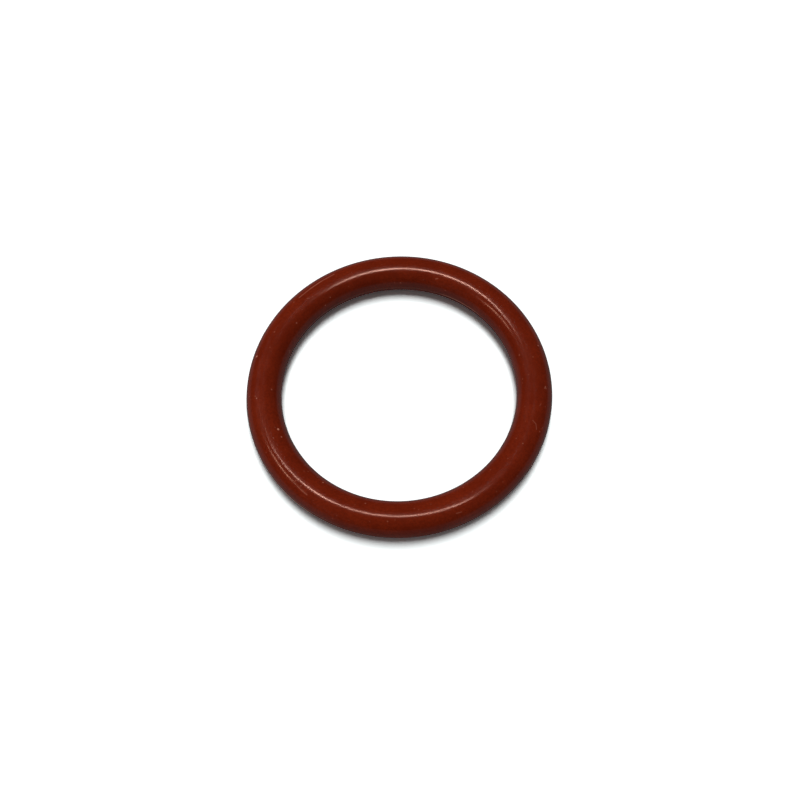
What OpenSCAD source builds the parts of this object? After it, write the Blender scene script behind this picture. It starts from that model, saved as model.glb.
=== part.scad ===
// Silicone o-ring: one moulded ring with a round section.
// The origin is the centre of the ring and +Z is its axis, so the ring lies flat in the XY plane.
// The two halves of its mould meet in that plane, and the trimmed flash runs round the ring there.

/* [Ring] */
// Inner diameter of the free ring, across the hole and not counting the flash
inner_d = 23.7; // [12:0.1:80]
// Diameter of the round section
section_d = 3.5; // [1.5:0.05:7]

/* [Parting line] */
// Width of the flash at its trimmed edge
flash_edge_w = 0.15; // [0.05:0.01:0.2]
// Width of the flash at its root in the round section
flash_root_w = 0.35; // [0.25:0.01:0.5]
// Height that the trimmed flash stands above the round section
flash_h = 0.03; // [0.01:0.01:0.1]

/* [Hidden] */

// Facets of a full circle in a preview
$fn = 180;

// Radius of the round section, and distance of its centre from the axis of the ring
section_r = section_d / 2;
pitch_r = inner_d / 2 + section_r;

// Depth below the round surface at which the flanks of the flash start
flash_bed = 0.01;
// Distances of the flash's root and of its trimmed edge from the centre of the section
flash_root_x = sqrt(pow(section_r, 2) - pow(flash_root_w / 2, 2)) - flash_bed;
flash_edge_x = section_r + flash_h;

// Bar through the section whose two ends are the flash on the outer and on the inner side
module flash_profile() {
    polygon([
        [flash_edge_x, -flash_edge_w / 2],
        [flash_edge_x, flash_edge_w / 2],
        [flash_root_x, flash_root_w / 2],
        [-flash_root_x, flash_root_w / 2],
        [-flash_edge_x, flash_edge_w / 2],
        [-flash_edge_x, -flash_edge_w / 2],
        [-flash_root_x, -flash_root_w / 2],
        [flash_root_x, -flash_root_w / 2]
    ]);
}

// Section of the ring: a true circle with the flash on its outer and its inner side
module section_profile() {
    circle(r = section_r);
    flash_profile();
}

module o_ring() {
    color([0.40, 0.11, 0.06])
        rotate_extrude()
            translate([pitch_r, 0])
                section_profile();
}

o_ring();
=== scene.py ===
"""Looks of the silicone o-ring: one moulded ring on a white ground, as the photograph shows it.

One high soft lamp lights ring and ground. Two low ones light the ring alone, and three narrow ones
show only in its gloss. The frame gives the size and the place of the ring. Lengths are in metres,
unless a name ends in _mm or _MM or a comment says that they are in mm.
"""
import math

import bpy
from mathutils import Matrix, Vector, noise

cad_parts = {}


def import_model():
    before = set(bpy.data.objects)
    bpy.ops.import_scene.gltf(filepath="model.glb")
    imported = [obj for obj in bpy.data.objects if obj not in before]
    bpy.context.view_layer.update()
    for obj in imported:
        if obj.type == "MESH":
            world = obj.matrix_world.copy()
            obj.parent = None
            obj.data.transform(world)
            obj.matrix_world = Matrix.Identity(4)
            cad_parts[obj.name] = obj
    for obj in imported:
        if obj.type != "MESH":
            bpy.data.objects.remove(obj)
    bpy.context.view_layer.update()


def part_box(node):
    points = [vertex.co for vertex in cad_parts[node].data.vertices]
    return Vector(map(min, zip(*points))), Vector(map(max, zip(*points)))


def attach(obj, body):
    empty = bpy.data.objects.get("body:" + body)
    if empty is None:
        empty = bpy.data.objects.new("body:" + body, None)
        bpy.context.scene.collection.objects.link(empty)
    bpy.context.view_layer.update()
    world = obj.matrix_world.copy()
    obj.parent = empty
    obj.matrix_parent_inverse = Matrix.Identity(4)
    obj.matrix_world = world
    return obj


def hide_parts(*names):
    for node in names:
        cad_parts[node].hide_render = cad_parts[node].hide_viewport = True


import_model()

MM = 0.001

# The flash has the sizes that the part's source gives it, and the ring is measured from the frame.
FLASH_H = 0.03 * MM
FLASH_EDGE_W = 0.15 * MM
FLASH_ROOT_W = 0.35 * MM
RING_LOW, RING_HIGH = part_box("o_ring")
SECTION_R = RING_HIGH.z
PITCH_R = RING_HIGH.x - FLASH_H - SECTION_R
FLOOR_Z = RING_LOW.z
# Angles round the section from the parting plane to the edge of the flash and to its root
EDGE_ANGLE = math.atan(FLASH_EDGE_W / 2 / (SECTION_R + FLASH_H))
ROOT_ANGLE = math.asin(FLASH_ROOT_W / 2 / SECTION_R)

# Mesh of the ring: columns round it, and rows over each of the two round stretches of its section
COLUMNS = 720
ROUND_ROWS = 44
# Edges that turn by more than this stay sharp, which only the edges of the flash do
SHARP_ANGLE = math.radians(35)
# Soft rubber is never quite round: length and depth of its long and of its short waves
WAVES = ((2.6 * MM, 0.004 * MM), (0.8 * MM, 0.0012 * MM))
# Share of the flash's height that the trimming left: on average, how far it strays and at least
FLASH_LEFT, FLASH_STRAY, FLASH_LEAST = 0.7, 0.5, 0.2
# It is read from noise along a circle: its radius, and how far over or under zero the two sides are read
FLASH_NOISE_R, FLASH_NOISE_H = 9, 3.0

# Specks of dust that the photo shows: azimuth and section angle in degrees, diameter in mm, strength
DOTS = (
    (163, 51, 0.24, 0.8), (142, 126, 0.20, 0.35), (121, 137, 0.18, 0.3), (85, 157, 0.18, 0.3),
    (151, 80, 0.18, 0.25), (178, 124, 0.20, 0.35), (135, 67, 0.16, 0.25), (130, 93, 0.16, 0.25),
    (125, 152, 0.18, 0.3), (327, 86, 0.18, 0.25), (335, 50, 0.18, 0.25), (274, 83, 0.16, 0.6),
    (328, 113, 0.18, 0.15), (62, 156, 0.18, 0.2), (12, 53, 0.20, 0.45), (10, 128, 0.22, 0.25),
    (7, 86, 0.18, 0.2), (358, 135, 0.18, 0.25), (198, 122, 0.26, 0.9), (202, 122, 0.18, 0.5),
    (231, 127, 0.20, 0.45), (252, 115, 0.16, 0.3), (262, 66, 0.18, 0.25), (182, 73, 0.18, 0.35),
    (222, 73, 0.16, 0.2), (225, 72, 0.18, 0.2),
)
# Fibres and scratches, and three strokes that paint a faint highlight line: both ends in the same way,
# width in mm, strength
STROKES_AND_HIGHLIGHT = (
    (180, 40, 181, 70, 0.07, 0.25), (155, 159, 156, 167, 0.09, 0.35),
    (353, 60, 354, 57, 0.09, 0.35), (354, 57, 353, 54, 0.09, 0.35),
    (288, 56, 290, 54, 0.09, 0.2), (345, 73, 346, 70, 0.09, 0.15),
    (338, 85, 337, 72, 0.07, 0.25), (337, 72, 335, 64, 0.07, 0.25), (67, 122, 68, 126, 0.10, 0.3),
    # The next three strokes paint a faint highlight line in the dust tone
    (114, 67, 120, 68, 0.12, 0.25), (120, 68, 126, 69, 0.12, 0.35), (126, 69, 132, 69, 0.12, 0.25),
    (224, 63, 226, 62, 0.10, 0.18), (226, 62, 229, 61, 0.12, 0.22),
)
# Where a speck starts to fade and where it ends, in shares of its width, and the same for a stroke
DOT_FADES, DOT_ENDS = 0.2, 0.6
STROKE_FADES, STROKE_ENDS = 0.2, 0.8
# Stretches where the flash is palest: azimuth and section angle, reach in mm, strength
PALE_STRETCHES = ((223, 0, 3.4, 0.75), (52, 180, 3.0, 0.4))
# Share of the reach at which that starts to fade, and its strength on the rest of the flash
PALE_FADES, PALE_ELSEWHERE = 0.5, 0.06
# Stretch of the near side that a thin film of dust dulls: its middle, and in mm where it thins and ends
FILM_AZIMUTH, FILM_ANGLE, FILM_THINS, FILM_ENDS = 262, 81, 4.6, 6.6


# Geometry

def on_ring(azimuth, angle, radius=SECTION_R):
    """Point at an azimuth round the ring and at an angle round its section, both in radians."""
    out = PITCH_R + radius * math.cos(angle)
    return Vector((out * math.cos(azimuth), out * math.sin(azimuth), radius * math.sin(angle)))


def section_angles():
    """Angles round the section: few over the flash, and even ones over the round stretches."""
    step = (math.pi - 2 * ROOT_ANGLE) / ROUND_ROWS
    angles = []
    for start in (0.0, math.pi):
        angles += [start, start + EDGE_ANGLE]
        angles += [start + ROOT_ANGLE + step * k for k in range(ROUND_ROWS + 1)]
        angles += [start + math.pi - EDGE_ANGLE]
    return angles


def flash_height(azimuth, angle):
    """Height of the trimmed flash on the outer or the inner side, uneven as the trimming left it."""
    side = math.copysign(FLASH_NOISE_H, math.cos(angle))
    circle = math.cos(azimuth) * FLASH_NOISE_R, math.sin(azimuth) * FLASH_NOISE_R
    stray = noise.noise(Vector((*circle, side)))
    return FLASH_H * min(1.0, max(FLASH_LEAST, FLASH_LEFT + FLASH_STRAY * stray))


def surface_radius(azimuth, angle):
    """Distance of the surface from the centre of the section. The waves only go inward."""
    off_plane = abs(math.asin(math.sin(angle)))
    just_past_edge = 1.01 * EDGE_ANGLE
    if off_plane < just_past_edge:
        return (SECTION_R + flash_height(azimuth, angle)) / math.cos(off_plane)
    place = on_ring(azimuth, angle)
    waves = sum(depth * (0.5 + 0.5 * noise.noise(place / length)) for length, depth in WAVES)
    return SECTION_R - waves * math.sin(off_plane) ** 2


def ring_mesh():
    """The ring as one closed mesh of quads, smooth but for the edges of the flash."""
    angles = section_angles()
    rows = len(angles)
    vertices = []
    for i in range(COLUMNS):
        azimuth = 2 * math.pi * i / COLUMNS
        vertices += [on_ring(azimuth, a, surface_radius(azimuth, a)) for a in angles]
    faces = []
    for i in range(COLUMNS):
        here, after = i * rows, (i + 1) % COLUMNS * rows
        for j in range(rows):
            above = (j + 1) % rows
            faces.append((here + j, after + j, after + above, here + above))
    mesh = bpy.data.meshes.new("ring")
    mesh.from_pydata(vertices, [], faces)
    mesh.shade_smooth()
    mesh.set_sharp_from_angle(angle=SHARP_ANGLE)
    return mesh


# Materials

def srgb(red, green, blue):
    """The linear colour that a shader takes, from a colour as a screen shows it, 0 to 255."""
    def linear(value):
        value /= 255
        return value / 12.92 if value <= 0.04045 else ((value + 0.055) / 1.055) ** 2.4
    return (linear(red), linear(green), linear(blue), 1.0)


# Tones of the rubber: two that it drifts between, its darker mottle and grains, paler dust, also used for a
# painted faint highlight line, and a paler flash
DARK_TONE, LIGHT_TONE = srgb(101, 27, 9), srgb(111, 32, 12)
MOTTLE_TONE, GRAIN_TONE = srgb(88, 22, 7), srgb(78, 20, 7)
DUST_AND_HIGHLIGHT_TONE, PALE_FLASH_TONE = srgb(188, 118, 96), srgb(190, 120, 95)
# Sizes of the drifts and of the mottle, spacing of the grains and of the plain specks of dust
DRIFT_MM, MOTTLE_MM, GRAIN_MM, SPECK_MM = 2.4, 0.22, 0.35, 0.8
# How strongly mottle, grains and specks show
MOTTLE_SHOWS, GRAIN_SHOWS, SPECK_SHOWS = 0.75, 0.5, 0.14
# Where grains and specks start to fade and where they end, in shares of their spacing
GRAIN_FADES, GRAIN_ENDS = 0.10, 0.22
SPECK_FADES, SPECK_ENDS = 0.04, 0.12
# Height over the parting plane at which the pale band of the flash starts to fade and where it ends
BAND_FADES_MM, BAND_ENDS_MM = 0.07, 0.13
# Roughness where the skin is glossiest and dullest, size of its patches, and what dust adds to it
GLOSSIEST, DULLEST, PATCH_MM, DUST_ADDS = 0.15, 0.21, 0.6, 0.25
# Relief: grain that the mould leaves and its height beside that of dust, then strength and depth of both
MOULD_MM, MOULD_SHARE = 0.09, 0.4
RELIEF_STRENGTH, RELIEF_DEPTH = 0.25, 0.01 * MM
# Refraction of silicone, and how much its skin mirrors under the film of dust and elsewhere
SILICONE_IOR, FILM_LEVEL, PLAIN_LEVEL = 1.41, 0.29, 0.5
# Range that noise keeps to but for rare peaks
NOISE_LOW, NOISE_HIGH = 0.3, 0.7

# How light the ground is to the camera, in the gloss of the ring, and as it throws light back
GROUND_SEEN, GROUND_IN_GLOSS, GROUND_BOUNCE = 1.65, 0.21, 0.8
# The same for the world, whose last value is the weak fill that it gives
WORLD_SEEN, WORLD_IN_GLOSS, WORLD_FILL = 1.0, 0.005, 0.10


class Nodes:
    """Short calls for building one node tree."""

    def __init__(self, tree):
        self.tree = tree
        self.tree.nodes.clear()

    def add(self, kind, inputs, **settings):
        node = self.tree.nodes.new(kind)
        for key, value in settings.items():
            setattr(node, key, value)
        for key, value in inputs.items():
            if isinstance(value, bpy.types.NodeSocket):
                self.tree.links.new(value, node.inputs[key])
            else:
                node.inputs[key].default_value = value
        return node

    def maths(self, operation, first, second):
        return self.add("ShaderNodeMath", {0: first, 1: second}, operation=operation).outputs[0]

    def vector(self, operation, first, second, output="Vector"):
        node = self.add("ShaderNodeVectorMath", {0: first, 1: second}, operation=operation)
        return node.outputs[output]

    def scaled(self, vector, factor):
        return self.add("ShaderNodeVectorMath", {0: vector, "Scale": factor}, operation="SCALE").outputs[0]

    def spread(self, value, low, high, to_low=0.0, to_high=1.0):
        """A value taken smoothly from one range to another."""
        return self.add("ShaderNodeMapRange", {
            "Value": value, "From Min": low, "From Max": high, "To Min": to_low, "To Max": to_high},
            interpolation_type="SMOOTHSTEP").outputs[0]

    def cloud(self, place, size, detail=2.0, roughness=0.5):
        """Noise from 0 to 1 whose features have about the given size."""
        return self.add("ShaderNodeTexNoise", {
            "Vector": place, "Scale": 1 / size, "Detail": detail, "Roughness": roughness}).outputs[0]

    def scattered(self, place, spacing):
        """Distance from the nearest of many scattered points, in shares of their spacing."""
        return self.add("ShaderNodeTexVoronoi", {"Vector": place, "Scale": 1 / spacing}).outputs["Distance"]

    def blend(self, share, first, second):
        return self.add("ShaderNodeMix", {"Factor": share, "A": first, "B": second},
                        data_type="RGBA").outputs[2]


def new_material(name):
    material = bpy.data.materials.new(name)
    material.use_nodes = True
    return material, Nodes(material.node_tree)


def ring_place_mm(azimuth, angle):
    return on_ring(math.radians(azimuth), math.radians(angle)) / MM


def distance_mm(n, place, azimuth, angle):
    """Distance from the place on the ring at those angles in degrees."""
    return n.vector("DISTANCE", place, ring_place_mm(azimuth, angle), "Value")


def dot_mask(n, place, azimuth, angle, diameter, strength):
    far = distance_mm(n, place, azimuth, angle)
    return n.spread(far, DOT_FADES * diameter, DOT_ENDS * diameter, strength, 0.0)


def stroke_mask(n, place, azimuth, angle, azimuth_end, angle_end, width, strength):
    """Mask of a fine straight mark between two places on the ring."""
    start, end = ring_place_mm(azimuth, angle), ring_place_mm(azimuth_end, angle_end)
    span = end - start
    offset = n.vector("SUBTRACT", place, start)
    along = n.vector("DOT_PRODUCT", offset, span / span.length_squared, "Value")
    along = n.add("ShaderNodeClamp", {"Value": along}).outputs[0]
    far = n.vector("DISTANCE", offset, n.scaled(span, along), "Value")
    return n.spread(far, STROKE_FADES * width, STROKE_ENDS * width, strength, 0.0)


def pale_stretch(n, place, azimuth, angle, reach, strength):
    """How pale the flash is: most near the given place, and a little everywhere else."""
    far = distance_mm(n, place, azimuth, angle)
    return n.spread(far, PALE_FADES * reach, reach, strength, PALE_ELSEWHERE)


def strongest(n, masks):
    """The highest of several masks at each place."""
    result = masks[0]
    for mask in masks[1:]:
        result = n.maths("MAXIMUM", result, mask)
    return result


def pigment(n, place):
    """Colour of the clean rubber: broad drifts of tone under a fine mottle, with darker grains."""
    drift = n.spread(n.cloud(place, DRIFT_MM), NOISE_LOW, NOISE_HIGH)
    colour = n.blend(drift, DARK_TONE, LIGHT_TONE)
    mottle = n.spread(n.cloud(place, MOTTLE_MM, detail=3.0, roughness=0.6), NOISE_LOW, NOISE_HIGH)
    colour = n.blend(n.maths("MULTIPLY", mottle, MOTTLE_SHOWS), colour, MOTTLE_TONE)
    grain = n.spread(n.scattered(place, GRAIN_MM), GRAIN_FADES, GRAIN_ENDS, GRAIN_SHOWS, 0.0)
    return n.blend(grain, colour, GRAIN_TONE)


def dust_and_highlight_mask(n, place):
    """Dust that any such ring picks up, and the marks that the photo shows, with three strokes that paint a
    faint highlight line.
    """
    specks = n.spread(n.scattered(place, SPECK_MM), SPECK_FADES, SPECK_ENDS, SPECK_SHOWS, 0.0)
    marks = [dot_mask(n, place, *dot) for dot in DOTS]
    marks += [stroke_mask(n, place, *stroke) for stroke in STROKES_AND_HIGHLIGHT]
    return n.maths("MAXIMUM", specks, strongest(n, marks))


def flash_band(n, place):
    """Mask of the narrow band along the parting plane where the trimmed flash stands."""
    height = n.add("ShaderNodeSeparateXYZ", {"Vector": place}).outputs["Z"]
    return n.spread(n.maths("ABSOLUTE", height, 0.0), BAND_FADES_MM, BAND_ENDS_MM, 1.0, 0.0)


def skin_roughness(n, place, dull):
    """Gloss that is a little uneven, and lower on dust and marks, the painted highlight line among them,
    and along the flash.
    """
    patches = n.cloud(place, PATCH_MM, detail=3.0)
    gloss = n.spread(patches, NOISE_LOW, NOISE_HIGH, GLOSSIEST, DULLEST)
    return n.maths("ADD", gloss, n.maths("MULTIPLY", dull, DUST_ADDS))


def relief(n, place, dust_and_highlight):
    """Normal of the skin, with the faint grain that the mould leaves and the dust and marks standing on it,
    the painted highlight line among them.
    """
    height = n.maths("ADD", n.maths("MULTIPLY", n.cloud(place, MOULD_MM), MOULD_SHARE), dust_and_highlight)
    return n.add("ShaderNodeBump", {
        "Strength": RELIEF_STRENGTH, "Distance": RELIEF_DEPTH, "Height": height}).outputs[0]


def silicone():
    """Red-brown silicone: mottled pigment, dull dust and fine marks, a painted faint highlight line among
    them, on a softly glossy skin.
    """
    material, n = new_material("silicone")
    place = n.scaled(n.add("ShaderNodeTexCoord", {}).outputs["Object"], 1 / MM)
    dust_and_highlight = dust_and_highlight_mask(n, place)
    # Dust and marks take the pale dust tone, and three strokes among them paint a faint highlight line
    colour = n.blend(dust_and_highlight, pigment(n, place), DUST_AND_HIGHLIGHT_TONE)
    # Along the parting plane the flash is paler and duller than the skin, palest at the listed stretches
    band = flash_band(n, place)
    paler = strongest(n, [pale_stretch(n, place, *stretch) for stretch in PALE_STRETCHES])
    colour = n.blend(n.maths("MULTIPLY", band, paler), colour, PALE_FLASH_TONE)
    # The thin film of dust mirrors less light
    film = distance_mm(n, place, FILM_AZIMUTH, FILM_ANGLE)
    shader = n.add("ShaderNodeBsdfPrincipled", {
        "Base Color": colour,
        "Roughness": skin_roughness(n, place, n.maths("MAXIMUM", dust_and_highlight, band)),
        "IOR": SILICONE_IOR,
        "Specular IOR Level": n.spread(film, FILM_THINS, FILM_ENDS, FILM_LEVEL, PLAIN_LEVEL),
        "Normal": relief(n, place, dust_and_highlight)})
    n.add("ShaderNodeOutputMaterial", {"Surface": shader.outputs["BSDF"]})
    return material


def by_ray(n, seen, in_gloss, bounce):
    """A tone for camera and transmission rays, one for glossy rays and one for diffuse rays."""
    rays = n.add("ShaderNodeLightPath", {}).outputs
    clear = n.maths("ADD", rays["Is Camera Ray"], rays["Is Transmission Ray"])
    tone = n.maths("MULTIPLY", rays["Is Glossy Ray"], in_gloss)
    tone = n.maths("ADD", tone, n.maths("MULTIPLY", rays["Is Diffuse Ray"], bounce))
    return n.maths("ADD", tone, n.maths("MULTIPLY", clear, seen))


def white_ground():
    """Matt white ground, seen as pure white by the camera but for the shadow on it."""
    material, n = new_material("white_ground")
    tone = by_ray(n, GROUND_SEEN, GROUND_IN_GLOSS, GROUND_BOUNCE)
    matt = n.add("ShaderNodeBsdfDiffuse", {"Color": tone})
    n.add("ShaderNodeOutputMaterial", {"Surface": matt.outputs["BSDF"]})
    return material


# Stage

Y_AXIS = (0, 1, 0)
STRIP_TURN = math.radians(-23.5)
STRIP_AXIS = (math.cos(STRIP_TURN), math.sin(STRIP_TURN), 0)
COOL_WHITE = (0.94, 1.0, 1.0)
STRIP_COLOUR = (1.0, 0.59, 0.47)
FAINT_COLOUR = (1.0, 0.5, 0.33)
GROUND_HALF = 0.5


def add_object(name, data):
    made = bpy.data.objects.new(name, data)
    bpy.context.scene.collection.objects.link(made)
    return made


def area_lamp(name, share, direction, size, along=(1, 0, 0), distance=0.5, colour=(1, 1, 1)):
    """A flat lamp facing the ring, its length laid along an axis.

    It lights what faces it at that share of the plain level.
    """
    data = bpy.data.lights.new(name, "AREA")
    data.shape = "RECTANGLE"
    data.size, data.size_y = size
    data.energy = share * math.pi ** 2 * distance ** 2
    data.color = colour
    towards = Vector(direction).normalized()
    across = towards.cross(Vector(along)).normalized()
    axes = Matrix((across.cross(towards), across, towards)).transposed().to_4x4()
    lamp = add_object(name, data)
    lamp.matrix_world = Matrix.Translation(towards * distance) @ axes
    return lamp


def high_lamp():
    """The large soft lamp that lights ring and ground. It is not seen in the gloss."""
    high = area_lamp("high_soft", share=0.73, direction=(0.04, 0.16, 1.0), size=(1.7, 0.95),
                     along=Y_AXIS, distance=3.0, colour=COOL_WHITE)
    high.visible_glossy = False


def low_lamps():
    """Two small lamps from the left, which light the ring's sides and are not seen in the gloss."""
    low = [
        area_lamp("back_left", share=0.39, direction=(-0.57, 0.44, 0.70), size=(0.2, 0.2)),
        area_lamp("front_left", share=0.10, direction=(-0.67, -0.67, 0.34), size=(0.2, 0.2)),
    ]
    for lamp in low:
        lamp.visible_glossy = False
    return low


def strip_lamps():
    """Three narrow lamps that show only in the gloss of the ring."""
    strips = [
        area_lamp("strip", share=0.42, direction=(-0.100, 0.053, 1.0), size=(0.39, 0.03),
                  along=STRIP_AXIS, colour=STRIP_COLOUR),
        area_lamp("strip_core", share=0.25, direction=(-0.080, 0.045, 1.0), size=(0.22, 0.03),
                  along=STRIP_AXIS, colour=STRIP_COLOUR),
        area_lamp("side_strip", share=0.1, direction=(-1.0, -0.07, 1.0), size=(0.21, 0.03),
                  along=Y_AXIS, distance=0.7, colour=FAINT_COLOUR),
    ]
    for lamp in strips:
        lamp.visible_diffuse = False
    return strips


def lamps(ring):
    """The high lamp for ring and ground, and the low ones and the strips for the ring alone."""
    high_lamp()
    only_ring = bpy.data.collections.new("only_ring")
    only_ring.objects.link(ring)
    for lamp in low_lamps() + strip_lamps():
        lamp.light_linking.receiver_collection = only_ring


def world():
    """White to the camera, nearly dark in the gloss, and a weak even fill."""
    made = bpy.data.worlds.new("world")
    made.use_nodes = True
    n = Nodes(made.node_tree)
    strength = by_ray(n, WORLD_SEEN, WORLD_IN_GLOSS, WORLD_FILL)
    light = n.add("ShaderNodeBackground", {"Color": (1, 1, 1, 1), "Strength": strength})
    n.add("ShaderNodeOutputWorld", {"Surface": light.outputs["Background"]})
    bpy.context.scene.world = made


def ground():
    """Plane under the ring, small enough that the high lamp keeps it white up to its edges."""
    corners = [(x * GROUND_HALF, y * GROUND_HALF, FLOOR_Z) for x, y in ((-1, -1), (1, -1), (1, 1), (-1, 1))]
    mesh = bpy.data.meshes.new("ground")
    mesh.from_pydata(corners, [], [(0, 1, 2, 3)])
    mesh.materials.append(white_ground())
    add_object("ground", mesh)


def camera():
    """The photograph's camera: it looks down on the ring and is turned a little about its own axis."""
    elevation, roll = math.radians(65.43), math.radians(4.42)
    distance = 7.87 * PITCH_R
    focal_px, image_px = 1063.5, 800
    right_px, up_px = 1.27, -10.25
    data = bpy.data.cameras.new("camera")
    data.sensor_width = 36.0
    data.lens = data.sensor_width * focal_px / image_px
    data.shift_x, data.shift_y = right_px / image_px, up_px / image_px
    data.clip_start, data.clip_end = 0.01, 10.0
    back = Vector((0, -math.cos(elevation), math.sin(elevation)))
    right = Vector((1, 0, 0))
    up = back.cross(right)
    rolled_right = right * math.cos(roll) - up * math.sin(roll)
    rolled_up = right * math.sin(roll) + up * math.cos(roll)
    made = add_object("camera", data)
    axes = Matrix((rolled_right, rolled_up, back)).transposed().to_4x4()
    made.matrix_world = Matrix.Translation(back * distance) @ axes
    bpy.context.scene.camera = made


def dressed_ring():
    ring = add_object("ring", ring_mesh())
    ring.data.materials.append(silicone())
    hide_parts("o_ring")
    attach(ring, "root")
    return ring


bpy.context.scene.view_settings.view_transform = "Standard"
camera()
lamps(dressed_ring())
ground()
world()
